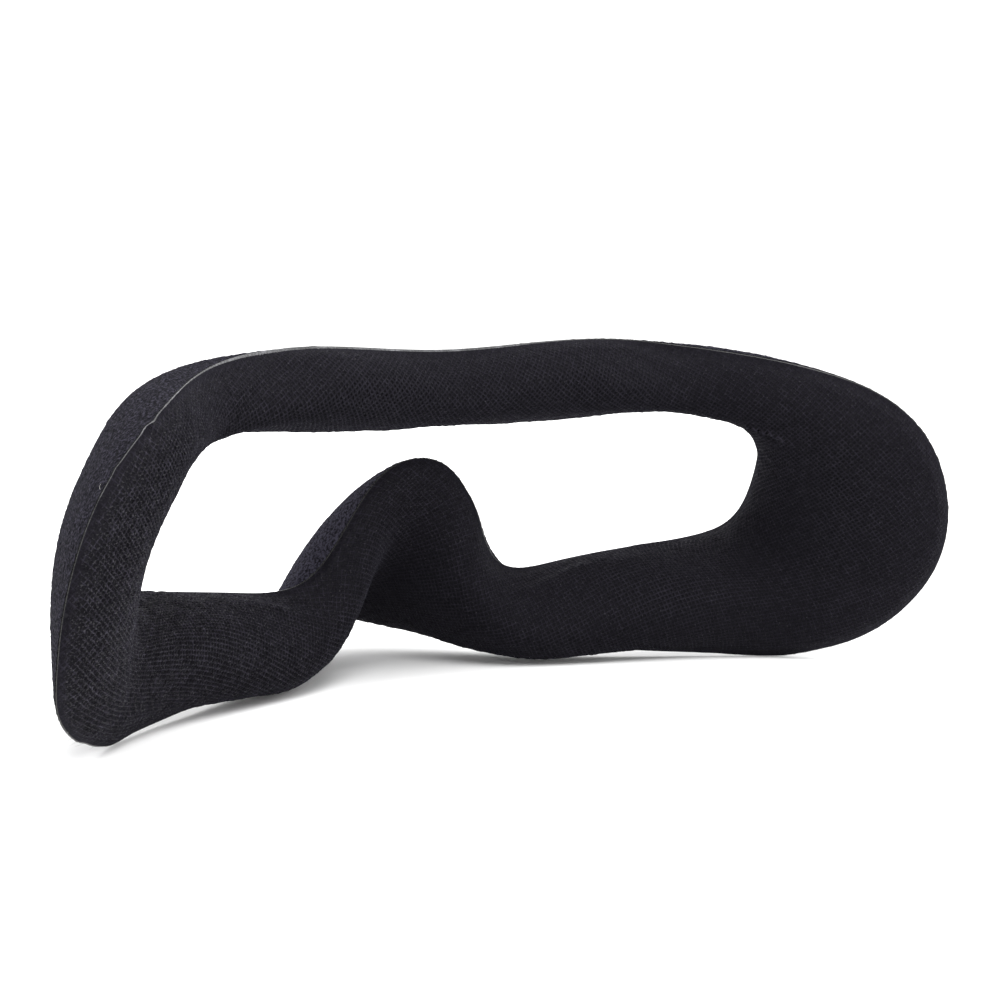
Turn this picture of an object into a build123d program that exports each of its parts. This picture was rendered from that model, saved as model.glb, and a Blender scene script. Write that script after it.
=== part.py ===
from build123d import *

import os
from collections import namedtuple

import numpy as np

# Soft face pad for FPV goggles. A closed, mask-shaped ring of moulded foam is pressed between a knitted
# cover on the face side and a velour loop backing on the goggle side, with a bonding film on each face
# of the foam. X runs from the wearer's left to right as seen from the face side, -Y is the face side,
# +Y the goggle side and +Z up. The pad stands on its cheek lobes at Z = 0. Millimetres.

# Driving dimensions -------------------------------------------------------------------------------------

# A station is one cross-section of the ring. outer and inner are the middles of the two pressed rims.
# rise_* is how far the padded side is pulled towards the face, next to each rim, and sag_* how far the
# backing is pulled towards the goggles. The stations run from the forehead to the nose on the +X side.
Station = namedtuple("Station", "place outer inner rise_outer rise_inner sag_outer sag_inner")
STATIONS = [
    Station("forehead centre", (0, -5, 58.5), (0, 1, 46.5), 13, 12, 2, 1),
    Station("forehead", (25.5, -6.5, 60), (32.5, -1.5, 47), 13.5, 13, 3.5, 2.5),
    Station("brow corner", (47, -12.5, 58.5), (57, -6.5, 50), 13.5, 13.5, 4.5, 3.5),
    Station("upper temple", (67, -32, 53), (66, -8.5, 44), 14, 14, 5, 4.5),
    Station("temple", (81.5, -40, 40), (68, -5, 31), 13, 13.5, 5, 3.5),
    Station("lobe", (86, -37.5, 19.5), (65.5, 1, 23), 13, 12.5, 3.5, 3),
    Station("lobe bottom", (77.5, -24, 3.5), (54.5, 7.5, 20), 13, 11, 3, 2.5),
    Station("cheek", (59, -7.5, 0.5), (35, 10, 18), 14.5, 12.5, 3, 2.5),
    Station("inner cheek", (34.5, 10, 2), (19.5, 8.5, 19.5), 15.5, 14, 3.5, 3.5),
    Station("nose slope", (15.5, 31.5, 5), (10, 5, 34), 14, 12.5, 4, 5.5),
    Station("nose ridge", (0, 40, 8), (0, 4, 39.5), 11.5, 10, 4.5, 6),
]
PADDED_SHOULDER = 0.10  # where the padded side turns in from each rim, as a share of the section's width
BACK_SHOULDER = 0.28  # the same for the backing side, which is much flatter

# Thickness of each layer over the ridge and where the press squeezes it at the rims.
Layer = namedtuple("Layer", "node ridge rim")
FACE_LAYERS = [Layer("face_mesh", 1.0, 0.4), Layer("face_film", 0.3, 0.3)]
BACK_LAYERS = [Layer("loop_backing", 1.2, 0.5), Layer("back_film", 0.3, 0.2)]
FOAM_RIM = 0.4  # foam left between the two films at a pressed rim

PULL = 4 / 3  # a cubic's middle moves by 3/4 of what its two inner points move


# Sections -----------------------------------------------------------------------------------------------

def whole_ring(values):
    """The +X half's values, then the same mirrored across X = 0, as one closed ring."""
    half = np.array(values, float)
    return np.vstack([half, half[-2:0:-1] * (-1, 1, 1)])


def closed_slopes(points):
    """Slope at each point of the smooth closed cubic spline through the points."""
    one = np.eye(len(points))
    system = 4 * one + np.roll(one, 1, axis=1) + np.roll(one, -1, axis=1)
    return np.linalg.solve(system, 3 * (np.roll(points, -1, axis=0) - np.roll(points, 1, axis=0)))


def section_frames():
    """Both rims, the unit vector across the section and its width, and the unit vector to the face."""
    outer = whole_ring([s.outer for s in STATIONS])
    inner = whole_ring([s.inner for s in STATIONS])
    width = np.linalg.norm(inner - outer, axis=1)[:, None]
    across = (inner - outer) / width
    to_face = np.cross(across, closed_slopes(outer + inner))
    to_face /= np.linalg.norm(to_face, axis=1)[:, None]
    return outer, inner, across, width, to_face


def around(field):
    """One number per station, mirrored round the ring as a column."""
    half = np.array([getattr(s, field) for s in STATIONS], float)
    return np.concatenate([half, half[-2:0:-1]])[:, None]


def padded_side(depth, rim):
    """Four control curves of a surface depth below the padded side and rim off the rims' middle."""
    outer, inner, across, width, to_face = section_frames()
    shoulder = across * (width * PADDED_SHOULDER + PULL * depth)
    return [
        outer + to_face * rim,
        outer + to_face * (around("rise_outer") - PULL * depth) + shoulder,
        inner + to_face * (around("rise_inner") - PULL * depth) - shoulder,
        inner + to_face * rim,
    ]


def backing_side(depth, rim):
    """The same for a surface depth in from the goggle side."""
    outer, inner, across, width, to_face = section_frames()
    shoulder = across * (width * BACK_SHOULDER)
    return [
        outer - to_face * rim,
        outer - to_face * (around("sag_outer") - PULL * depth) + shoulder,
        inner - to_face * (around("sag_inner") - PULL * depth) - shoulder,
        inner - to_face * rim,
    ]


# Solids -------------------------------------------------------------------------------------------------

def spans(curve):
    """Control points of the closed spline through the curve's points, four for each span."""
    ends = np.roll(curve, -1, axis=0)
    slopes = closed_slopes(curve) / 3
    return np.stack([curve, curve + slopes, ends - np.roll(slopes, -1, axis=0), ends], axis=1)


def patches(curves):
    """One Bezier face for each span of the ring, through the given control curves."""
    nets = np.stack([spans(curve) for curve in curves], axis=2)
    return [Face.make_bezier_surface([[tuple(p) for p in row] for row in net]) for net in nets]


def ring_between(near, far):
    """The closed ring between two surfaces, with a narrow strip along each of its rims."""
    outer_rim = patches([near[0], far[0]])
    inner_rim = patches([near[-1], far[-1]])
    return Solid(Shell(patches(near) + patches(far) + outer_rim + inner_rim))


def surfaces(side, layers):
    """The surfaces on both faces of each layer, from the outside in."""
    rim = FOAM_RIM / 2 + sum(layer.rim for layer in layers)
    depth = 0.0
    found = [side(depth, rim)]
    for layer in layers:
        depth += layer.ridge
        rim -= layer.rim
        found.append(side(depth, rim))
    return found


def layer_solids():
    """Each layer of the laminate by node name."""
    face = surfaces(padded_side, FACE_LAYERS)
    back = surfaces(backing_side, BACK_LAYERS)
    solids = {"foam_core": ring_between(face[-1], back[-1])}
    for found, layers in ((face, FACE_LAYERS), (back, BACK_LAYERS)):
        for number, layer in enumerate(layers):
            solids[layer.node] = ring_between(found[number], found[number + 1])
    return solids


os.makedirs("parts", exist_ok=True)
for node, solid in layer_solids().items():
    export_step(solid, f"parts/{node}.step")
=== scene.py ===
import math
from collections import namedtuple

import bpy
import numpy as np
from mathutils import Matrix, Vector
from mathutils.kdtree import KDTree


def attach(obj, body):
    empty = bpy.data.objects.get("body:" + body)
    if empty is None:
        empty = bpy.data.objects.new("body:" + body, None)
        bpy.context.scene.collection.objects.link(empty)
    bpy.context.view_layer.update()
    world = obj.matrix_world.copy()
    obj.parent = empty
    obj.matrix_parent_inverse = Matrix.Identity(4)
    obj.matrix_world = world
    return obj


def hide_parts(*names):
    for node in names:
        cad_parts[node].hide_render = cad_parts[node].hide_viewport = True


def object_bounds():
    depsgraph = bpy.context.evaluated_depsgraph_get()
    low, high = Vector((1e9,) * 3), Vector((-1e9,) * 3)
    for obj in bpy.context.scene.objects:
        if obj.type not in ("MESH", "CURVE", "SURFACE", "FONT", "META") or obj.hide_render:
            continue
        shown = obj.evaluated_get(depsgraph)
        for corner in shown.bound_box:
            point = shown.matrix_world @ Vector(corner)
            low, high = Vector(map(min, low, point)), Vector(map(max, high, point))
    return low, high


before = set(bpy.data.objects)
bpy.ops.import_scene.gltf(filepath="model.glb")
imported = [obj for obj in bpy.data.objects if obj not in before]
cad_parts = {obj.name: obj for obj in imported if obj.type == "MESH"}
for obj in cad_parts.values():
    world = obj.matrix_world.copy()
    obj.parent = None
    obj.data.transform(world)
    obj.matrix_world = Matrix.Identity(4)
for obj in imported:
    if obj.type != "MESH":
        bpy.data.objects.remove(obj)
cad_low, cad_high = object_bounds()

# The pad's visual model: knitted air mesh with real holes over a ground knit, bonding films whose cut
# edges show as a pale line, moulded foam and a velour loop backing. Points are worked out in millimetres
# and MM turns them into metres.

MM = 0.001
RNG = np.random.default_rng(11)

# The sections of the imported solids, in millimetres ------------------------------------------------------

# A station is one cross-section of the ring. outer and inner are the middles of the two pressed rims.
# rise_* is how far the padded side is pulled towards the face, next to each rim, and sag_* how far the
# backing is pulled towards the goggles. The +X half is listed, from the forehead to the nose.
Station = namedtuple("Station", "place outer inner rise_outer rise_inner sag_outer sag_inner")
STATIONS = [
    Station("forehead centre", (0, -5, 58.5), (0, 1, 46.5), 13, 12, 2, 1),
    Station("forehead", (25.5, -6.5, 60), (32.5, -1.5, 47), 13.5, 13, 3.5, 2.5),
    Station("brow corner", (47, -12.5, 58.5), (57, -6.5, 50), 13.5, 13.5, 4.5, 3.5),
    Station("upper temple", (67, -32, 53), (66, -8.5, 44), 14, 14, 5, 4.5),
    Station("temple", (81.5, -40, 40), (68, -5, 31), 13, 13.5, 5, 3.5),
    Station("lobe", (86, -37.5, 19.5), (65.5, 1, 23), 13, 12.5, 3.5, 3),
    Station("lobe bottom", (77.5, -24, 3.5), (54.5, 7.5, 20), 13, 11, 3, 2.5),
    Station("cheek", (59, -7.5, 0.5), (35, 10, 18), 14.5, 12.5, 3, 2.5),
    Station("inner cheek", (34.5, 10, 2), (19.5, 8.5, 19.5), 15.5, 14, 3.5, 3.5),
    Station("nose slope", (15.5, 31.5, 5), (10, 5, 34), 14, 12.5, 4, 5.5),
    Station("nose ridge", (0, 40, 8), (0, 4, 39.5), 11.5, 10, 4.5, 6),
]
ROUND = 2 * (len(STATIONS) - 1)          # stations on the whole ring
PADDED_SHOULDER = 0.10                   # where the padded side turns in from each rim, share of the width
BACK_SHOULDER = 0.28                     # the same for the backing side
PULL = 4 / 3                             # a cubic's middle moves by 3/4 of what its two inner points move


def whole_ring(values):
    """The +X half's values, then the same mirrored across X = 0, as one closed ring."""
    half = np.array(values, float)
    return np.vstack([half, half[-2:0:-1] * (-1, 1, 1)])


def around(field):
    """One number per station, mirrored round the ring as a column."""
    half = np.array([getattr(s, field) for s in STATIONS], float)
    return np.concatenate([half, half[-2:0:-1]])[:, None]


def closed_slopes(points):
    """Slope at each point of the smooth closed cubic spline through the points."""
    one = np.eye(len(points))
    system = 4 * one + np.roll(one, 1, axis=1) + np.roll(one, -1, axis=1)
    return np.linalg.solve(system, 3 * (np.roll(points, -1, axis=0) - np.roll(points, 1, axis=0)))


OUTER = whole_ring([s.outer for s in STATIONS])
INNER = whole_ring([s.inner for s in STATIONS])
WIDTH = np.linalg.norm(INNER - OUTER, axis=1)[:, None]
ACROSS = (INNER - OUTER) / WIDTH
TO_FACE = np.cross(ACROSS, closed_slopes(OUTER + INNER))
TO_FACE /= np.linalg.norm(TO_FACE, axis=1)[:, None]


class Surface:
    """A smooth closed ring: a closed cubic spline along, a cubic Bezier across.

    s runs along the ring from 0 to ROUND, t across it from 0 at the outer rim to 1 at the inner one.
    """

    def __init__(self, curves, outward):
        self.points = np.stack(curves, axis=1)
        self.slopes = np.stack([closed_slopes(c) for c in curves], axis=1)
        self.outward = outward

    def at(self, s, t):
        i = np.floor(s).astype(int)
        f = (s - i)[:, None, None]
        a, b = i % ROUND, (i + 1) % ROUND
        control = ((1 + 2 * f) * (1 - f) ** 2 * self.points[a] + f * (1 - f) ** 2 * self.slopes[a]
                   + f * f * (3 - 2 * f) * self.points[b] - f * f * (1 - f) * self.slopes[b])
        t = np.clip(t, 0, 1)
        weights = np.stack([(1 - t) ** 3, 3 * t * (1 - t) ** 2, 3 * t * t * (1 - t), t ** 3], axis=1)
        return (control * weights[:, :, None]).sum(1)

    def normal(self, s, t):
        e = 1e-3
        t = np.clip(t, e, 1 - e)
        along = self.at(s + e, t) - self.at(s - e, t)
        across = self.at(s, t + e) - self.at(s, t - e)
        n = np.cross(across, along) * self.outward
        return n / np.linalg.norm(n, axis=1)[:, None]


def padded_side(depth, rim):
    """The surface depth below the padded side and rim off the rims' middle, towards the face."""
    shoulder = ACROSS * (WIDTH * PADDED_SHOULDER + PULL * depth)
    return Surface([
        OUTER + TO_FACE * rim,
        OUTER + TO_FACE * (around("rise_outer") - PULL * depth) + shoulder,
        INNER + TO_FACE * (around("rise_inner") - PULL * depth) - shoulder,
        INNER + TO_FACE * rim,
    ], 1)


def backing_side(depth, rim):
    """The same for a surface depth in from the goggle side."""
    shoulder = ACROSS * (WIDTH * BACK_SHOULDER)
    return Surface([
        OUTER - TO_FACE * rim,
        OUTER - TO_FACE * (around("sag_outer") - PULL * depth) + shoulder,
        INNER - TO_FACE * (around("sag_inner") - PULL * depth) - shoulder,
        INNER - TO_FACE * rim,
    ], -1)


def grid(ns, nt):
    """s and t of ns places along the ring by nt across it."""
    s, t = np.meshgrid(np.arange(ns) * ROUND / ns, np.linspace(0.0, 1.0, nt), indexing="ij")
    return s.ravel(), t.ravel()


# Smooth look-up of a value known on a coarse grid round the ring ---------------------------------------

def cubic_weights(f):
    """Catmull-Rom weights of the four neighbours."""
    return np.stack([0.5 * (-f + 2 * f ** 2 - f ** 3), 0.5 * (2 - 5 * f ** 2 + 3 * f ** 3),
                     0.5 * (f + 4 * f ** 2 - 3 * f ** 3), 0.5 * (-f ** 2 + f ** 3)], axis=1)


def look_up(values, s, t):
    """values is (ns, nt, k) on grid(ns, nt), closed along s."""
    ns, nt = values.shape[:2]
    x, y = s * ns / ROUND, np.clip(t, 0, 1) * (nt - 1)
    i, j = np.floor(x).astype(int), np.minimum(np.floor(y).astype(int), nt - 2)
    wx, wy = cubic_weights(x - i), cubic_weights(y - j)
    padded = np.concatenate([2 * values[:, :1] - values[:, 1:2], values,
                             2 * values[:, -1:] - values[:, -2:-1]], axis=1)
    total = 0
    for a in range(4):
        for b in range(4):
            total = total + (wx[:, a] * wy[:, b])[:, None] * padded[(i + a - 1) % ns, j + b]
    return total


# The flat cut of each fabric ----------------------------------------------------------------------------

FLAT_NS, FLAT_NT = 60, 7
EVENNESS = 0.6        # against unequal steps between the layout's grid lines
DIRECTION = 0.07      # against turning the grid lines along the ring
START_SHARE = 0.3     # of the fabric's width, so that the first layout doesn't fold over itself
SOLVER_ROUNDS = 30
SOLVER_DAMPING = 2e-5
LONGEST_MOVE = 2.0    # of any place in one round, mm


def flat_cut(surface):
    """The fabric laid flat, (FLAT_NS, FLAT_NT, 2) in mm: the plane layout with lengths nearest the ring's."""
    s, t = grid(FLAT_NS, FLAT_NT)
    shape = surface.at(s, t).reshape(FLAT_NS, FLAT_NT, 3)
    steps = np.linalg.norm(np.diff(shape, axis=1), axis=2)
    along = np.concatenate([np.zeros((FLAT_NS, 1)), np.cumsum(steps, axis=1)], axis=1)
    middle = (OUTER + INNER)[:, [0, 2]] / 2
    stations = np.arange(FLAT_NS) * ROUND / FLAT_NS
    line = look_up(middle[:, None].repeat(2, axis=1), stations, np.zeros(FLAT_NS))
    ends = np.roll(line, -1, axis=0)
    wanted = np.linalg.norm(np.roll(shape, -1, axis=0) - shape, axis=2).mean()
    line = line * wanted / np.linalg.norm(ends - line, axis=1).mean()
    tangent = np.roll(line, -1, axis=0) - np.roll(line, 1, axis=0)
    tangent /= np.linalg.norm(tangent, axis=1)[:, None]
    inward = np.stack([tangent[:, 1], -tangent[:, 0]], axis=1)
    flat = line[:, None] + inward[:, None] * (along - along[:, -1:] / 2)[:, :, None] * START_SHARE

    number = np.arange(FLAT_NS * FLAT_NT).reshape(FLAT_NS, FLAT_NT)
    onward = np.roll(number, -1, axis=0)
    pairs = np.concatenate([
        np.stack([number, onward], -1).reshape(-1, 2),
        np.stack([number[:, :-1], number[:, 1:]], -1).reshape(-1, 2),
        np.stack([number[:, :-1], onward[:, 1:]], -1).reshape(-1, 2),
        np.stack([number[:, 1:], onward[:, :-1]], -1).reshape(-1, 2),
    ])
    spatial = shape.reshape(-1, 3)
    rest = np.linalg.norm(spatial[pairs[:, 0]] - spatial[pairs[:, 1]], axis=1)
    p = flat.reshape(-1, 2)
    ends = 2 * pairs[:, [0, 0, 1, 1]] + np.array([0, 1, 0, 1])      # the four unknowns of each pair

    # Even grid lines keep the layout from folding over itself.
    bend_s = 2 * np.eye(FLAT_NS) - np.roll(np.eye(FLAT_NS), 1, 0) - np.roll(np.eye(FLAT_NS), -1, 0)
    bend_t = np.diff(np.eye(FLAT_NT), n=2, axis=0)
    even = np.kron(bend_s @ bend_s, np.eye(FLAT_NT)) + np.kron(np.eye(FLAT_NS), bend_t.T @ bend_t)
    even = np.kron(even, np.eye(2)) * (EVENNESS / rest.mean()) ** 2
    # Along the ring they keep the direction that they have as seen from the face.
    ring = pairs[:len(p)]
    seen = (spatial[ring[:, 1]] - spatial[ring[:, 0]])[:, [0, 2]]
    seen *= (rest[:len(p)] / np.maximum(np.linalg.norm(seen, axis=1), 1e-6))[:, None]
    firm = (DIRECTION / rest.mean()) ** 2
    links = np.zeros((len(p), len(p)))
    np.add.at(links, (ring[:, 0], ring[:, 0]), firm)
    np.add.at(links, (ring[:, 1], ring[:, 1]), firm)
    np.add.at(links, (ring[:, 0], ring[:, 1]), -firm)
    np.add.at(links, (ring[:, 1], ring[:, 0]), -firm)
    even = even + np.kron(links, np.eye(2))
    drawn = np.zeros((len(p), 2))
    np.add.at(drawn, ring[:, 1], firm * seen)
    np.add.at(drawn, ring[:, 0], -firm * seen)
    for _ in range(SOLVER_ROUNDS):
        d = p[pairs[:, 1]] - p[pairs[:, 0]]
        length = np.maximum(np.linalg.norm(d, axis=1), 1e-6)
        slope = np.concatenate([-d, d], axis=1) / (length * rest)[:, None]
        miss = (length - rest) / rest
        system = even + SOLVER_DAMPING * np.eye(2 * len(p))
        pull = drawn.ravel() - (even * p.reshape(1, -1)).sum(1)
        np.add.at(system, (ends[:, :, None], ends[:, None, :]), slope[:, :, None] * slope[:, None, :])
        np.add.at(pull, ends, -slope * miss[:, None])
        step = np.linalg.solve(system, pull).reshape(-1, 2)
        p = p + step * min(1.0, LONGEST_MOVE / max(np.abs(step).max(), 1e-9))
    p = p - p.mean(axis=0)
    return p.reshape(FLAT_NS, FLAT_NT, 2)


# Meshes -------------------------------------------------------------------------------------------------

def make_mesh(name, points, faces, smooth=True):
    """A new object in the scene. points in mm, faces as rows of corner numbers."""
    mesh = bpy.data.meshes.new(name)
    mesh.from_pydata([tuple(p) for p in points * MM], [], [tuple(f) for f in faces])
    mesh.polygons.foreach_set("use_smooth", [smooth] * len(mesh.polygons))
    mesh.update()
    piece = bpy.data.objects.new(name, mesh)
    bpy.context.scene.collection.objects.link(piece)
    return piece


def add_uv(piece, uv):
    """uv in mm, one per vertex, stored as UV map fabric."""
    layer = piece.data.uv_layers.new(name="fabric")
    corner = np.zeros(len(piece.data.loops), np.int32)
    piece.data.loops.foreach_get("vertex_index", corner)
    layer.data.foreach_set("uv", uv[corner].astype(np.float32).ravel())


def add_value(piece, name, values):
    """One number per vertex, for the material."""
    attribute = piece.data.attributes.new(name, "FLOAT", "POINT")
    attribute.data.foreach_set("value", np.asarray(values, np.float32))


def ring_faces(ns, nt, first=0, flip=False):
    """Quads of a closed ring whose vertices follow grid(ns, nt) from number first on."""
    n = first + np.arange(ns * nt).reshape(ns, nt)
    m = np.roll(n, -1, axis=0)
    quads = np.stack([n[:, :-1], n[:, 1:], m[:, 1:], m[:, :-1]], axis=-1).reshape(-1, 4)
    return quads[:, ::-1] if flip else quads


# Padding: relief of the knit over the foam, from a cloth simulation -------------------------------------

KNIT_TOP = 0.16      # the cover's height over the middle of the rims, mm
PUFF_NS, PUFF_NT = 240, 17
PUFF_START = 0.5     # how far below the moulded shape the skin starts, mm
PUFF_FRAMES = 20
PUFF_CAP = 0.45      # the most that the simulated skin leaves the moulded shape, mm


def simulate_puff():
    """Displacement along the normal, (PUFF_NS, PUFF_NT, 1) in mm, of the knit held at both rims."""
    s, t = grid(PUFF_NS, PUFF_NT)
    points = padded_side(PUFF_START, KNIT_TOP).at(s, t)
    skin = make_mesh("puff_skin", points, ring_faces(PUFF_NS, PUFF_NT))
    pinned = skin.vertex_groups.new(name="rims")
    held = [k for k in range(len(points)) if k % PUFF_NT in (0, PUFF_NT - 1)]
    pinned.add(held, 1.0, "REPLACE")
    cloth = skin.modifiers.new("cloth", "CLOTH")
    cloth.settings.quality = 6
    cloth.settings.mass = 0.2
    cloth.settings.tension_stiffness = 25
    cloth.settings.compression_stiffness = 25
    cloth.settings.shear_stiffness = 8
    cloth.settings.bending_stiffness = 0.8
    cloth.settings.vertex_group_mass = "rims"
    cloth.settings.use_pressure = True
    cloth.settings.uniform_pressure_force = 4
    cloth.settings.effector_weights.gravity = 0
    cloth.settings.shrink_min = -0.015
    for number in range(1, PUFF_FRAMES + 1):
        bpy.context.scene.frame_set(number)
    depsgraph = bpy.context.evaluated_depsgraph_get()
    swollen = bpy.data.meshes.new_from_object(skin.evaluated_get(depsgraph))
    found = np.array([v.co for v in swollen.vertices], float) / MM
    bpy.data.objects.remove(skin)
    bpy.context.scene.frame_set(1)
    moulded = padded_side(0.0, KNIT_TOP)
    away = ((found - moulded.at(s, t)) * moulded.normal(s, t)).sum(1)
    away = PUFF_CAP * np.tanh(away / PUFF_CAP)
    away = away.reshape(PUFF_NS, PUFF_NT)
    for _ in range(2):
        away = (away + 0.5 * (np.roll(away, 1, 0) + np.roll(away, -1, 0))) / 2
    away[:, [0, -1]] = 0
    return away[:, :, None]


def arc_table(surface, ns=400, nt=65):
    """Distance in mm across the section from t = 0, on grid(ns, nt)."""
    s, t = grid(ns, nt)
    shape = surface.at(s, t).reshape(ns, nt, 3)
    steps = np.linalg.norm(np.diff(shape, axis=1), axis=2)
    return np.concatenate([np.zeros((ns, 1)), np.cumsum(steps, axis=1)], axis=1)[:, :, None]


def rim_distance(table, s, t):
    """Distance in mm to the nearer rim."""
    arc = look_up(table, s, t)[:, 0]
    whole = look_up(table, s, np.ones(len(s)))[:, 0]
    return np.maximum(np.minimum(arc, whole - arc), 0)


def smooth_step(x):
    x = np.clip(x, 0, 1)
    return x * x * (3 - 2 * x)


PUFF = simulate_puff()
PAD_ARC = arc_table(padded_side(0.0, KNIT_TOP))
GROOVE = 0.14        # depth of the groove that the press leaves beside each rim, mm
GROOVE_PLACE, GROOVE_WIDTH = 1.6, 0.8
CREST_HEIGHT, HOLLOW_DEPTH = 0.7, 0.4    # of the crease, mm

# Wandering of the cut rims and unevenness of the hand-laid laminate, mm
WAVES = [(k, RNG.uniform(0, 2 * math.pi), RNG.uniform(0.5, 1.0) / k ** 0.6)
         for k in (3, 5, 7, 11, 17, 23, 31)]


def wander(s, shift):
    """Smooth closed waviness round the ring; shift gives another one of the same kind."""
    angle = s * 2 * math.pi / ROUND
    return sum(a * np.sin(k * angle + p + shift * k) for k, p, a in WAVES)


def lift(s, t):
    """Shared movement of every layer of the padded side along its normal, mm."""
    t = np.clip(t, 0, 1)
    bulk = np.sin(math.pi * t)
    groove = GROOVE * np.exp(-((rim_distance(PAD_ARC, s, t) - GROOVE_PLACE) / GROOVE_WIDTH) ** 2)
    crest, hollow = crease(s, t)
    uneven = 0.10 * bulk * wander(s, 1.3)
    ripple = 0.07 * bulk * wander(s, 0.4) * np.cos(5 * t)
    return look_up(PUFF, s, t)[:, 0] + uneven + ripple - groove + CREST_HEIGHT * crest - HOLLOW_DEPTH * hollow


# A crease pressed in beside the opening's upper +X corner, from one (s, t) to the other
CREASE_FROM, CREASE_TO = np.array([2.50, 0.53]), np.array([3.25, 0.465])
MM_PER_S, MM_PER_T = 26.0, 58.0          # about what one unit of s and of t is on the padded side
CREASE_SPAN = np.array([MM_PER_S, MM_PER_T])
CREST_WIDTH = 0.9
HOLLOW_PLACE, HOLLOW_WIDTH = 1.8, 1.3    # beside the crest, mm


def crease(s, t):
    """How much of the crease's crest and of the hollow beside it is at each place, 0 to 1."""
    start, line = CREASE_FROM * CREASE_SPAN, (CREASE_TO - CREASE_FROM) * CREASE_SPAN
    length = np.linalg.norm(line)
    line /= length
    off = np.stack([s, t], axis=1) * CREASE_SPAN - start
    along = off @ line / length
    aside = off[:, 1] * line[0] - off[:, 0] * line[1]
    fade = smooth_step(along / 0.25 + 0.2) * smooth_step((1 - along) / 0.6 + 0.1)
    crest = np.exp(-(aside / CREST_WIDTH) ** 2)
    hollow = np.exp(-((aside - HOLLOW_PLACE) / HOLLOW_WIDTH) ** 2)
    return fade * crest, fade * hollow


# Places where this pad hangs a little off the moulded shape: s, t, reach in s and t, then mm along
# RIGHTWARD and mm up
NUDGES = [
    (14.5, 0.00, 0.35, 0.20, -0.7, -0.2),
    (13.42, 0.00, 0.20, 0.12, 0.2, -0.5),
    (13.85, 0.00, 0.12, 0.08, 0.0, 0.25),
    (15.1, 0.00, 0.40, 0.20, -0.1, 0.0),
    (6.65, 0.00, 0.25, 0.15, 0.2, -0.6),
    (13.25, 0.80, 0.40, 0.15, 0.0, -0.85),
    (16.0, 0.60, 0.60, 0.20, -0.45, 0.0),
    (18.8, 0.72, 0.60, 0.15, 0.0, 0.5),
    (2.5, 0.90, 0.40, 0.20, 0.0, 0.45),
    (3.3, 0.95, 0.50, 0.20, 0.6, 0.0),
    (8.65, 1.00, 0.30, 0.25, 0.6, 0.0),
    (19.9, 0.00, 0.80, 0.12, 0.0, 0.35),
    (16.77, 0.00, 0.05, 0.06, -0.18, 0.1),
    (16.87, 0.00, 0.05, 0.06, 0.18, -0.1),
    (16.35, 0.00, 0.05, 0.05, -0.1, 0.1),
]
RIGHTWARD = np.array([0.827, -0.562, 0])


def nudged(s, t):
    """Sum of the nudges, (n, 3) in mm."""
    total = np.zeros((len(s), 3))
    t = np.clip(t, 0, 1)
    for s0, t0, reach_s, reach_t, right, up in NUDGES:
        away = (s - s0 + ROUND / 2) % ROUND - ROUND / 2
        weight = np.exp(-(away / reach_s) ** 2 - ((t - t0) / reach_t) ** 2)
        total += weight[:, None] * (right * RIGHTWARD + np.array([0, 0, up]))
    return total


SOFT_FLOOR = 0.25        # height below which the pad's own weight flattens it against the floor, mm


def stood(points):
    """The points with the ones near or below the floor eased up to it, in their order of height."""
    z = points[:, 2]
    points[:, 2] = np.where(z < SOFT_FLOOR, SOFT_FLOOR * np.exp(np.minimum(z / SOFT_FLOOR - 1, 0)), z)
    return points


# Kinks where the press pinched the outer rim: s, reach in s, mm outwards
KINKS = [(RNG.uniform(15.2, 19.0), RNG.uniform(0.02, 0.05), RNG.uniform(-0.20, 0.38))
         for _ in range(12)]
PINCH = (16.82, 0.035, 0.55)             # the plainest of them
KINKS.append(PINCH)


def crispness_and_painted_light(s, t):
    """How open and raised the knit's holes are: most at the -X lobe, least on the +X side and under the nose. It
    also paints light into the knit's colour. It makes the knit brighter and more contrasty on the -X lobe, on
    the lit side, and on top of the nose arch, as a painted highlight. It makes the knit darker and flatter on
    the +X side and under the nose, as painted shade.
    """
    away = (s - 14.8 + ROUND / 2) % ROUND - ROUND / 2
    nose = np.exp(-((s - 10) / 1.1) ** 2)
    under, over = smooth_step((0.62 - t) / 0.14), smooth_step((t - 0.62) / 0.14)
    lobe = 0.38 + 0.62 * np.exp(-(away / 2.6) ** 2)
    return np.clip(lobe + nose * (0.15 * over - 0.30 * under), 0, 1)


def rim_shift(s, t):
    """Small waviness of both cut rims, mm, along the way across the section."""
    t = np.clip(t, 0, 1)
    kinks = sum(-mm * np.exp(-((s - s0) / reach) ** 2) for s0, reach, mm in KINKS) * np.exp(-t / 0.02)
    near = np.exp(-t / 0.06) * wander(s, 0.2) + np.exp(-(1 - t) / 0.06) * wander(s, 2.1)
    return 0.10 * near + kinks


def across_at(s):
    """The unit vector across the section at s."""
    return look_up(ACROSS[:, None].repeat(2, axis=1), s, np.zeros(len(s)))


# The knitted cover ---------------------------------------------------------------------------------------

PITCH_U, PITCH_V = 1.06, 0.53      # spacing of the holes along and between the rows, mm
HOLE, CLOSED_HOLE = 0.55, 0.16     # hole size as a share of its cell, and where the press closed it
FLANGE = 1.4                       # width of the pressed flange beside each rim, mm
UNEVEN = 0.075                     # wandering of the knit's strands, mm
STRAND, HOLE_RIM = 0.12, -0.05     # heights of the strands' tops and of the holes' rims, mm
STRAND_NOISE = 0.045               # unevenness of both heights, mm
LONGEST_EDGE = 3.2 * PITCH_U       # of a face; longer ones are at folds of the flat cut and are dropped


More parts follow.
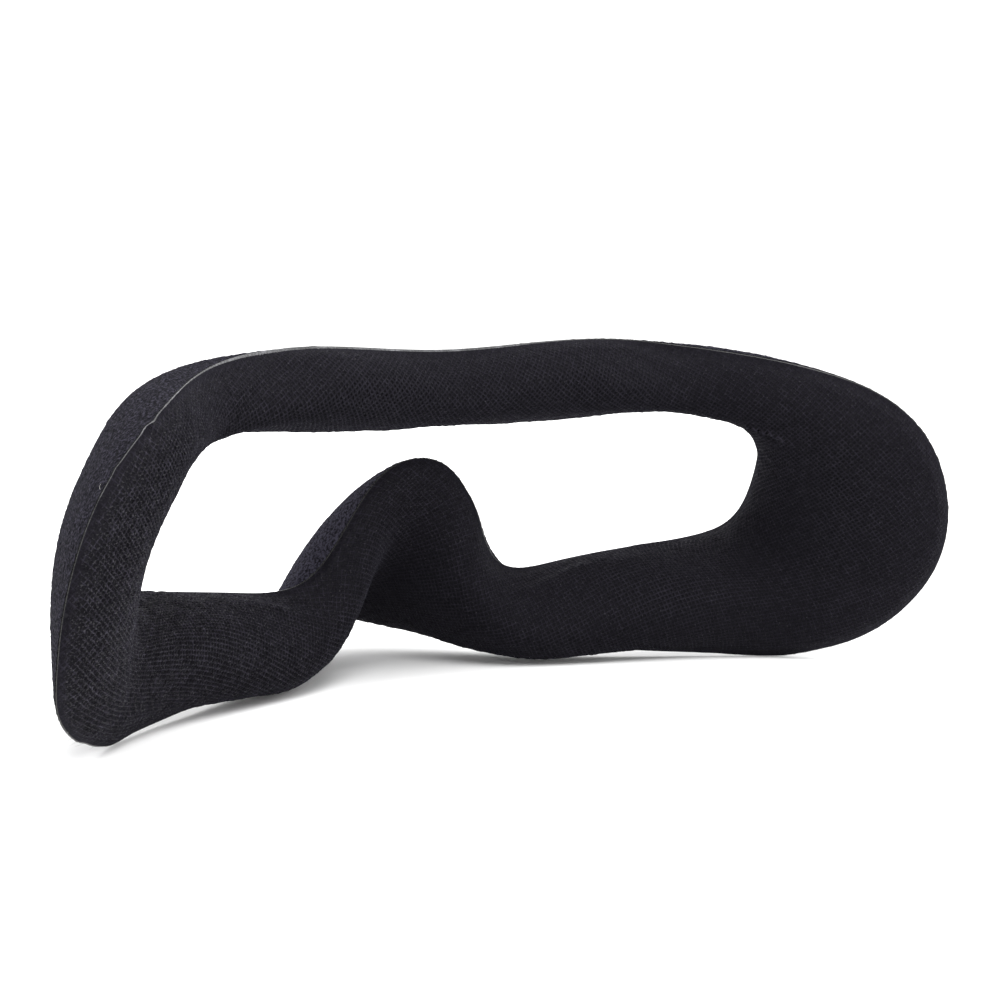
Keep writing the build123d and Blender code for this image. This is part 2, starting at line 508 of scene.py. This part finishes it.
class FlatMap:
    """From places on the flat cut back to (s, t) on the ring."""

    def __init__(self, cut, ns=1200, nt=61):
        self.s, self.t = grid(ns, nt)
        self.uv = look_up(cut, self.s, self.t)
        e = 1e-2
        t_low, t_high = np.maximum(self.t - e, 0), np.minimum(self.t + e, 1)
        self.du_ds = (look_up(cut, self.s + e, self.t) - look_up(cut, self.s - e, self.t)) / (2 * e)
        self.du_dt = (look_up(cut, self.s, t_high) - look_up(cut, self.s, t_low)) / (t_high - t_low)[:, None]
        self.tree = KDTree(len(self.uv))
        for k, (u, v) in enumerate(self.uv.tolist()):
            self.tree.insert((u, v, 0), k)
        self.tree.balance()

    def find(self, uv):
        near = np.array([self.tree.find((u, v, 0))[1] for u, v in uv.tolist()])
        off = uv - self.uv[near]
        a, b = self.du_ds[near], self.du_dt[near]
        det = a[:, 0] * b[:, 1] - a[:, 1] * b[:, 0]
        det = np.where(np.abs(det) < 1e-9, 1e-9, det)
        ds = (off[:, 0] * b[:, 1] - off[:, 1] * b[:, 0]) / det
        dt = (a[:, 0] * off[:, 1] - a[:, 1] * off[:, 0]) / det
        return self.s[near] + ds, self.t[near] + dt, np.linalg.norm(off, axis=1)


# Corners of a cell, in half pitches along the rows and whole ones across
CORNERS = np.array([(0, 1), (1, 0), (0, -1), (-1, 0)])


def build_knit(cut):
    """The cover's face knit: four-sided cells with a hole in each, laid out on the flat cut."""
    surface = padded_side(0.0, KNIT_TOP)
    places = FlatMap(cut)
    low, high = cut.reshape(-1, 2).min(0) - 1, cut.reshape(-1, 2).max(0) + 1
    rows = np.arange(int(low[1] / PITCH_V), int(high[1] / PITCH_V) + 1)
    columns = np.arange(int(low[0] / PITCH_U), int(high[0] / PITCH_U) + 1)
    j, i = np.meshgrid(rows, columns, indexing="ij")
    centres = np.stack([2 * i.ravel() + (j.ravel() % 2), j.ravel()], axis=1)
    unit = np.array([PITCH_U / 2, PITCH_V])
    s, t, off = places.find(centres * unit)
    keep = (t > -0.01) & (t < 1.01) & (off < 1.2)
    centres, s, t = centres[keep], s[keep], t[keep]

    keys = (centres[:, None] + CORNERS[None]).reshape(-1, 2)
    unique, which = np.unique(keys, axis=0, return_inverse=True)
    which = which.reshape(-1, 4)
    corner_s, corner_t, _ = places.find(unique * unit)
    uneven = UNEVEN * RNG.standard_normal((2, len(corner_s)))
    corner_s, corner_t = corner_s + uneven[0] / MM_PER_S, np.clip(corner_t + uneven[1] / MM_PER_T, 0, 1)

    # The rim of each hole lies between the cell's middle and its corners. The press has closed the holes
    # along the flanges.
    cell_s, cell_t = corner_s[which], corner_t[which]
    turn = np.round((cell_s - s[:, None]) / ROUND) * ROUND
    cell_s = cell_s - turn
    distance = rim_distance(PAD_ARC, s, t)
    opened = smooth_step((distance - 0.5) / FLANGE)
    stretch = 1 + 0.20 * RNG.standard_normal(len(s))
    crisp_and_light = crispness_and_painted_light(s, t)
    size = CLOSED_HOLE + (HOLE - CLOSED_HOLE) * opened * (0.55 + 0.45 * crisp_and_light)
    size = size * np.clip(stretch, 0.5, 1.45)
    hole_s = s[:, None] + (cell_s - s[:, None]) * size[:, None]
    hole_t = np.clip(t[:, None] + (cell_t - t[:, None]) * size[:, None], 0, 1)

    all_s = np.concatenate([corner_s, hole_s.ravel()])
    all_t = np.concatenate([corner_t, hole_t.ravel()])
    near = rim_distance(PAD_ARC, all_s, all_t)
    raised = smooth_step((near - 0.4) / FLANGE)
    height = np.concatenate([np.full(len(unique), STRAND), np.full(hole_s.size, HOLE_RIM)])
    crisp_and_light = crispness_and_painted_light(all_s, all_t)
    height = height * raised * (0.4 + 0.6 * crisp_and_light) + STRAND_NOISE * RNG.standard_normal(len(height)) * raised
    moved = (lift(all_s, all_t) + height)[:, None]
    points = (surface.at(all_s, all_t) + surface.normal(all_s, all_t) * moved
              + across_at(all_s) * rim_shift(all_s, all_t)[:, None] + nudged(all_s, all_t))

    first = len(unique) + np.arange(len(s))[:, None] * 4
    faces = []
    for k in range(4):
        n = (k + 1) % 4
        faces.append(np.stack([which[:, k], first[:, 0] + k, first[:, 0] + n, which[:, n]], axis=1))
    faces = np.concatenate(faces)
    # Faces that the cut rim leaves without any width are dropped.
    flat = np.linalg.norm(np.cross(points[faces[:, 1]] - points[faces[:, 0]],
                                   points[faces[:, 2]] - points[faces[:, 0]]), axis=1)
    flat += np.linalg.norm(np.cross(points[faces[:, 2]] - points[faces[:, 0]],
                                    points[faces[:, 3]] - points[faces[:, 0]]), axis=1)
    edges = [np.linalg.norm(points[faces[:, k]] - points[faces[:, k - 1]], axis=1) for k in range(4)]
    faces = faces[(flat > 1e-4) & (np.max(edges, axis=0) < LONGEST_EDGE)]
    piece = make_mesh("knit_cover", stood(points), faces[:, ::-1])
    add_uv(piece, look_up(cut, all_s, all_t))
    # Painted light and shade: the strands' tops are lighter and the holes' rims darker, as painted shade in the
    # holes. A random yarn tone is added on top of that.
    strand_tone_and_light = np.concatenate([np.full(len(unique), 0.8), np.full(hole_s.size, 0.15)])
    strand_tone_and_light += 0.30 * RNG.standard_normal(len(strand_tone_and_light)) * crisp_and_light
    # Painted highlight: the crease's crest is made lighter here and in the knit's base colour.
    add_value(piece, "strand_tone_and_light", np.clip(strand_tone_and_light, 0, 1.6) + 0.35 * crease(all_s, all_t)[0])
    # This mask marks where the press flattened the knit beside the rims. It also carries the painted light and
    # shade from the mask above, so the flat, darker tone spreads over the +X side and under the nose as painted
    # shade.
    add_value(piece, "pressed_and_shade", 1 - smooth_step((near - 0.3) / FLANGE) * crisp_and_light)
    add_value(piece, "crest", crease(all_s, all_t)[0])
    return piece


RIM_REACH = 0.01     # of a layer's own shift of its cut edges, in t


def layer(name, top, bottom, ns, nt, moved_top, moved_bottom, proud=0.0):
    """A closed thin ring between two surfaces.

    moved_* give each side's own shift along its normal, and proud how far the rims stand out, in mm or
    as a function of s. Gives back the piece and the s and t of its vertices.
    """
    s, t = grid(ns, nt)
    points = []
    for surface, moved in ((top, moved_top), (bottom, moved_bottom)):
        p = surface.at(s, t) + surface.normal(s, t) * moved(s, t)[:, None]
        stands = proud(s) if callable(proud) else proud
        outwards = np.exp(-(1 - t) / RIM_REACH) - np.exp(-t / RIM_REACH)
        p += across_at(s) * (rim_shift(s, t) + stands * outwards)[:, None]
        points.append(stood(p + nudged(s, t)))
    count = ns * nt
    n = np.arange(count).reshape(ns, nt)
    m = np.roll(n, -1, axis=0)
    outer = np.stack([n[:, 0], m[:, 0], m[:, 0] + count, n[:, 0] + count], axis=1)
    inner = np.stack([n[:, -1], n[:, -1] + count, m[:, -1] + count, m[:, -1]], axis=1)
    faces = np.concatenate([ring_faces(ns, nt), ring_faces(ns, nt, count, flip=True), outer, inner])
    return make_mesh(name, np.concatenate(points), faces), np.concatenate([s, s]), np.concatenate([t, t])


def pale_edge(s, t):
    """How pale the film's cut edge is: a little along the whole outer rim, least round the opening. The extra
    paleness along the top and the -X temple, which face the light, is a painted highlight.
    """
    from_top = (s + ROUND / 2) % ROUND - ROUND / 2        # 0 at the forehead, -5 at the -X lobe
    facing = smooth_step((from_top + 4.6) / 1.4) * smooth_step((1.4 - from_top) / 1.2)
    blotch = 0.5 + 0.5 * np.sin(9 * s + 3 * np.sin(4.3 * s))
    pinched = np.exp(-((s - PINCH[0]) / 0.03) ** 2)
    return np.where(t < 0.5, 0.08 + 0.92 * facing * (0.5 + 0.5 * blotch) + 0.6 * pinched, 0.02)


def ledge(s):
    """How far the film's cut edge stands out of the outer rim, mm: most where the forehead band faces up."""
    from_top = (s + ROUND / 2) % ROUND - ROUND / 2
    return 0.03 + 0.11 * smooth_step((from_top + 2.6) / 1.0) * smooth_step((1.2 - from_top) / 1.0)


def still(s, t):
    """No movement, for layers on the backing side."""
    return np.zeros(len(s))


# The velour backing -------------------------------------------------------------------------------------

VELOUR_NS, VELOUR_NT = 900, 96
PILE = 0.13          # unevenness of the loop pile, mm


def grains(uv, size, seed):
    """Smooth random values, about -1 to 1, in grains of that size in mm on the flat cut."""
    table = np.random.default_rng(seed).uniform(-1, 1, (256, 256))
    x = uv / size
    i = np.floor(x).astype(int)
    f = smooth_step(x - i)
    a, b, c, d = (table[(i[:, 0] + p) % 256, (i[:, 1] + q) % 256]
                  for p, q in ((0, 0), (1, 0), (0, 1), (1, 1)))
    return (a * (1 - f[:, 0]) + b * f[:, 0]) * (1 - f[:, 1]) + (c * (1 - f[:, 0]) + d * f[:, 0]) * f[:, 1]


def build_velour(cut):
    """The goggle side's fabric, with the unevenness of its loops."""
    surface = backing_side(0.0, 0.10)
    s, t = grid(VELOUR_NS, VELOUR_NT)
    near = rim_distance(arc_table(surface), s, t)
    uv = look_up(cut, s, t)
    pile = 0.75 * grains(uv, 0.45, 1) + 0.1 * grains(uv, 1.3, 2) + 0.25 * RNG.standard_normal(len(s))
    height = PILE * pile * smooth_step(near / 0.8 + 0.35)
    sway = 0.04 * RNG.standard_normal((2, len(s)))
    points = surface.at(s + sway[0] * 0.05, t) + surface.normal(s, t) * height[:, None]
    points += across_at(s) * (rim_shift(s, t) + sway[1])[:, None] + nudged(s, t)
    piece = make_mesh("loop_velour", stood(points), ring_faces(VELOUR_NS, VELOUR_NT, flip=True))
    add_uv(piece, uv)
    nap = 0.5 * np.exp(-((s - 11.5) / 1.3) ** 2)        # the pile stands up inside the nose arch
    add_value(piece, "pile", np.clip(0.5 + 0.5 * pile + nap, 0, 2))
    return piece


# Lint -----------------------------------------------------------------------------------------------------

LINT_STEPS, LINT_SIDES, LINT_RADIUS = 7, 3, 0.03
LINT_LENGTH = (0.7, 2.2)      # mm


def build_lint():
    """A few loose pale fibres caught along the cut edge of the velour, most at the -X lobe's bottom."""
    points, faces = [], []
    surface = backing_side(0.0, 0.12)
    spots = list(RNG.uniform(13.35, 14.6, 26)) + list(RNG.uniform(0, ROUND, 24))
    for spot in spots:
        s0, t0 = np.array([spot]), np.array([abs(RNG.normal(0, 0.05))])
        p = surface.at(s0, t0)[0]
        direction = surface.normal(s0, t0)[0] + 0.8 * RNG.standard_normal(3)
        direction /= np.linalg.norm(direction)
        bend = RNG.standard_normal(3)
        length = RNG.uniform(*LINT_LENGTH)
        line = []
        for k in range(LINT_STEPS):
            line.append(p.copy())
            direction = direction + bend * 0.35
            direction /= np.linalg.norm(direction)
            p = p + direction * length / LINT_STEPS
        line = np.array(line)
        side = np.cross(line[1] - line[0], bend)
        side /= np.linalg.norm(side)
        up = np.cross(line[1] - line[0], side)
        up /= np.linalg.norm(up)
        first = len(points)
        for k, q in enumerate(line):
            r = LINT_RADIUS * (1 - 0.6 * k / LINT_STEPS)
            for a in range(LINT_SIDES):
                angle = a * 2 * math.pi / LINT_SIDES
                points.append(q + r * (math.cos(angle) * side + math.sin(angle) * up))
        for k in range(LINT_STEPS - 1):
            low = first + LINT_SIDES * k
            high = low + LINT_SIDES
            for a in range(LINT_SIDES):
                b = (a + 1) % LINT_SIDES
                faces.append((low + a, low + b, high + b, high + a))
        last = first + LINT_SIDES * (LINT_STEPS - 1)
        faces.append((first + 2, first + 1, first))
        faces.append((last, last + 1, last + 2))
    points = np.array(points)
    points[:, 2] = np.maximum(points[:, 2], 0.03)
    return make_mesh("loose_fibres", points, faces)


# Materials ----------------------------------------------------------------------------------------------

def colour(code):
    """Scene-linear colour of a #rrggbb code."""
    parts = [int(code[k:k + 2], 16) / 255 for k in (1, 3, 5)]
    return [((c + 0.055) / 1.055) ** 2.4 if c > 0.04045 else c / 12.92 for c in parts] + [1.0]


class Nodes:
    """A material and short names for making its nodes."""

    def __init__(self, name, roughness, sheen=0.0, sheen_roughness=0.5, sheen_tint="#ffffff", specular=0.3):
        self.material = bpy.data.materials.new(name)
        self.material.use_nodes = True
        self.tree = self.material.node_tree
        self.shader = self.tree.nodes["Principled BSDF"]
        self.shader.inputs["Roughness"].default_value = roughness
        self.shader.inputs["Sheen Weight"].default_value = sheen
        self.shader.inputs["Sheen Roughness"].default_value = sheen_roughness
        self.shader.inputs["Sheen Tint"].default_value = colour(sheen_tint)
        self.shader.inputs["Specular IOR Level"].default_value = specular

    def node(self, kind, **values):
        made = self.tree.nodes.new(kind)
        for key, value in values.items():
            if key.startswith("in_"):
                made.inputs[key[3:].replace("_", " ")].default_value = value
            else:
                setattr(made, key, value)
        return made

    def link(self, source, target):
        self.tree.links.new(source, target)

    def attribute(self, name):
        return self.node("ShaderNodeAttribute", attribute_name=name).outputs["Fac"]

    def fabric(self):
        return self.node("ShaderNodeUVMap", uv_map="fabric").outputs["UV"]

    def place(self):
        return self.node("ShaderNodeTexCoord").outputs["Object"]

    def stretched(self, vector, scale, turn=0.0):
        made = self.node("ShaderNodeMapping")
        made.inputs["Scale"].default_value = scale
        made.inputs["Rotation"].default_value = (0, 0, turn)
        self.link(vector, made.inputs["Vector"])
        return made.outputs["Vector"]

    def noise(self, vector, scale, detail=2.0, rough=0.5):
        made = self.node("ShaderNodeTexNoise", in_Scale=scale, in_Detail=detail, in_Roughness=rough)
        self.link(vector, made.inputs["Vector"])
        return made.outputs["Fac"]

    def ramp(self, factor, *stops):
        made = self.node("ShaderNodeValToRGB")
        elements = made.color_ramp.elements
        while len(elements) < len(stops):
            elements.new(0.5)
        for element, (position, code) in zip(elements, stops):
            element.position = position
            element.color = colour(code)
        self.link(factor, made.inputs["Fac"])
        return made.outputs["Color"]

    def maths(self, operation, a, b):
        made = self.node("ShaderNodeMath", operation=operation)
        for socket, value in zip(made.inputs, (a, b)):
            if isinstance(value, (int, float)):
                socket.default_value = value
            else:
                self.link(value, socket)
        return made.outputs[0]

    def mix(self, factor, a, b):
        made = self.node("ShaderNodeMix", data_type="RGBA")
        self.link(factor, made.inputs["Factor"])
        self.link(a, made.inputs[6])
        self.link(b, made.inputs[7])
        return made.outputs[2]

    def bump(self, height, distance, strength=1.0):
        made = self.node("ShaderNodeBump", in_Distance=distance, in_Strength=strength)
        self.link(height, made.inputs["Height"])
        self.link(made.outputs["Normal"], self.shader.inputs["Normal"])


def knit_material():
    n = Nodes("knit_air_mesh", 0.72, sheen=0.04, sheen_roughness=0.45, sheen_tint="#c2c0d6", specular=0.12)
    fabric = n.fabric()
    filaments = n.noise(n.stretched(fabric, (2.2, 7.5, 1), 0.6), 2.0, 3.0, 0.6)
    patches = n.noise(n.place(), 55.0, 3.0, 0.55)
    # Base colour: the yarn is lighter on the strands' tops than at the holes' rims, which is painted light. The
    # flat darker tone is the pressed hem's own tone, and on the +X side and under the nose it is painted shade.
    # The knit is lighter along the crease's crest, which is a painted highlight.
    yarn = n.maths("MULTIPLY", n.attribute("strand_tone_and_light"), 0.45)
    yarn = n.maths("ADD", yarn, n.maths("MULTIPLY", filaments, 0.55))
    body = n.ramp(yarn, (0.25, "#0c0c0f"), (0.52, "#161519"), (0.80, "#2b2931"), (1.00, "#4a4852"))
    pressed_and_shade_tone = n.ramp(patches, (0.35, "#0e0d11"), (0.65, "#151418"))
    plain = n.maths("MULTIPLY", n.attribute("pressed_and_shade"), 0.6)
    plain = n.maths("SUBTRACT", plain, n.attribute("crest"))
    n.link(n.mix(plain, body, pressed_and_shade_tone), n.shader.inputs["Base Color"])
    glints = n.noise(fabric, 3.2, 2.0, 0.6)
    glints = n.maths("SUBTRACT", glints, n.maths("MULTIPLY", n.attribute("pressed_and_shade"), 0.16))
    shine = n.ramp(glints, (0.42, "#161616"), (0.55, "#484848"), (0.68, "#b8b8b8"))
    n.link(shine, n.shader.inputs["Specular IOR Level"])
    n.link(n.maths("ADD", n.maths("MULTIPLY", filaments, 0.3), 0.50), n.shader.inputs["Roughness"])
    n.bump(filaments, 0.00009)
    return n.material


def ground_material():
    n = Nodes("ground_knit", 0.85, specular=0.10)
    grain = n.noise(n.place(), 2600.0, 3.0, 0.6)
    deep = n.ramp(grain, (0.3, "#0a0a0c"), (0.7, "#121116"))
    hem = n.ramp(grain, (0.3, "#121115"), (0.7, "#19181c"))
    # The open ground is darker than the pressed hem. The hem's lighter tone also spreads over the +X side and
    # under the nose, following the knit's painted light and shade.
    n.link(n.mix(n.attribute("pressed_and_shade"), deep, hem), n.shader.inputs["Base Color"])
    n.bump(grain, 0.0001)
    return n.material


def film_material():
    n = Nodes("bonding_film", 0.55, specular=0.3)
    streaks = n.noise(n.place(), 420.0, 4.0, 0.65)
    specks = n.noise(n.place(), 2400.0, 2.0, 0.6)
    mixed = n.maths("ADD", n.maths("MULTIPLY", streaks, 0.7), n.maths("MULTIPLY", specks, 0.3))
    pale = n.ramp(mixed, (0.30, "#2c2c2e"), (0.5, "#444446"), (0.72, "#6c6c70"))
    dull = n.ramp(mixed, (0.35, "#101010"), (0.65, "#1f1f1d"))
    # The pale tone along the top and the -X temple is partly the film's own colour and partly a painted
    # highlight.
    n.link(n.mix(n.attribute("pale"), dull, pale), n.shader.inputs["Base Color"])
    n.link(n.ramp(specks, (0.3, "#777777"), (0.7, "#aaaaaa")), n.shader.inputs["Roughness"])
    n.bump(mixed, 0.00008)
    return n.material


def foam_material():
    n = Nodes("moulded_foam", 0.95, specular=0.12)
    cells = n.node("ShaderNodeTexVoronoi", in_Scale=2200.0)
    n.link(n.place(), cells.inputs["Vector"])
    tone = n.ramp(cells.outputs["Distance"], (0.1, "#0a0a0c"), (0.7, "#1d1d20"))
    n.link(tone, n.shader.inputs["Base Color"])
    n.bump(cells.outputs["Distance"], 0.00015)
    return n.material


def velour_material():
    n = Nodes("velour_loops", 0.95, sheen=0.02, sheen_roughness=0.6, sheen_tint="#b3b0cc", specular=0.05)
    fabric = n.fabric()
    loops = n.noise(fabric, 2.1, 2.0, 0.6)
    curls = n.noise(n.stretched(fabric, (2.2, 3.2, 1), 0.5), 2.6, 3.0, 0.7)
    patches = n.noise(n.place(), 60.0, 3.0, 0.6)
    pile = n.maths("MULTIPLY", n.attribute("pile"), 0.14)
    depth = n.maths("ADD", n.maths("MULTIPLY", loops, 0.86), pile)
    body = n.ramp(depth, (0.38, "#060608"), (0.50, "#18171d"), (0.62, "#3a3843"))
    nap = n.ramp(patches, (0.35, "#101015"), (0.65, "#1c1b22"))
    n.link(n.mix(n.maths("MULTIPLY", patches, 0.25), body, nap), n.shader.inputs["Base Color"])
    n.bump(n.maths("ADD", loops, curls), 0.00030)
    return n.material


def lint_material():
    n = Nodes("lint", 0.8, specular=0.2)
    tone = n.noise(n.place(), 900.0)
    n.link(n.ramp(tone, (0.3, "#a9a9a6"), (0.7, "#d8d8d4")), n.shader.inputs["Base Color"])
    return n.material


def dress(piece, material, nodes=()):
    """Gives the piece its material and body and hides the CAD nodes that it stands for."""
    piece.data.materials.append(material)
    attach(piece, "root")
    if nodes:
        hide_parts(*nodes)
    return piece


# Assembly -----------------------------------------------------------------------------------------------

# Each layer's two faces are given as a depth and a height off the rims' middle, in mm, from the cover in.

face_cut = flat_cut(padded_side(0.0, KNIT_TOP))
back_cut = flat_cut(backing_side(0.0, 0.12))

knit = dress(build_knit(face_cut), knit_material(), ["face_mesh"])
film_paint = film_material()

ground, gs, gt = layer("ground_knit", padded_side(0.20, 0.15), padded_side(1.0, 0.12), 720, 49, lift, lift)
# This marks the pressed hem beside the rims, together with the knit's painted light and shade mask.
add_value(ground, "pressed_and_shade", 1 - smooth_step((rim_distance(PAD_ARC, gs, gt) - 0.6) / 1.6) * crispness_and_painted_light(gs, gt))
dress(ground, ground_material(), ["face_mesh"])

film, fs, ft = layer("cover_film", padded_side(1.02, 0.10), padded_side(1.28, 0.02), 720, 25, lift, lift,
                     proud=ledge)
add_value(film, "pale", pale_edge(fs, ft))
dress(film, film_paint, ["face_film"])

foam, _, _ = layer("foam_pad", padded_side(1.32, -0.01), backing_side(1.55, 0.03), 480, 33, lift, still,
                   proud=-0.15)
dress(foam, foam_material(), ["foam_core"])

back_film, _, _ = layer("backing_film", backing_side(1.25, 0.06), backing_side(1.50, 0.04), 480, 25,
                        still, still, proud=-0.1)
dress(back_film, film_paint, ["back_film"])

velour = dress(build_velour(back_cut), velour_material(), ["loop_backing"])
dress(build_lint(), lint_material())

# Floor, light and camera --------------------------------------------------------------------------------

FLOOR_HALF = 4000     # mm
floor_corners = FLOOR_HALF * np.array([(-1, -1, 0), (1, -1, 0), (1, 1, 0), (-1, 1, 0)], float)
floor = make_mesh("floor", floor_corners, [(0, 1, 2, 3)], smooth=False)
paint = Nodes("floor_paint", 0.9, specular=0.1)
tone = paint.noise(paint.place(), 3.0)
paint.link(paint.ramp(tone, (0.0, "#fbfbfb"), (1.0, "#fdfdfd")), paint.shader.inputs["Base Color"])
floor.data.materials.append(paint.material)

world = bpy.data.worlds.new("studio")
world.use_nodes = True
world.node_tree.nodes["Background"].inputs["Color"].default_value = (1, 1, 1, 1)
world.node_tree.nodes["Background"].inputs["Strength"].default_value = 1.35
bpy.context.scene.world = world
bpy.context.scene.view_settings.view_transform = "Standard"

centre = (cad_low + cad_high) / 2


def softbox(name, offset, size, watts):
    """A soft area light at offset from the pad's middle, in metres, turned to face it."""
    light = bpy.data.lights.new(name, "AREA")
    light.shape = "RECTANGLE"
    light.size, light.size_y = size
    light.energy = watts
    lamp = bpy.data.objects.new(name, light)
    lamp.location = centre + Vector(offset)
    lamp.rotation_euler = (-Vector(offset)).to_track_quat("-Z", "Y").to_euler()
    bpy.context.scene.collection.objects.link(lamp)


softbox("key", (-0.15, -0.50, 0.85), (0.6, 0.6), 9)
softbox("fill", (0.75, -0.35, 0.45), (0.6, 0.6), 3)
softbox("back", (0.1, 0.8, 0.6), (0.9, 0.5), 4)

camera = bpy.data.cameras.new("camera")
camera.sensor_width = 36
camera.lens = 82.877
camera.clip_start, camera.clip_end = 0.01, 20
eye = bpy.data.objects.new("camera", camera)
eye.location = (-0.21424, -0.33659, 0.07821)
eye.rotation_euler = (math.radians(90 - 6.543), 0, math.radians(-34.206))
bpy.context.scene.collection.objects.link(eye)
bpy.context.scene.camera = eye

bpy.context.view_layer.update()
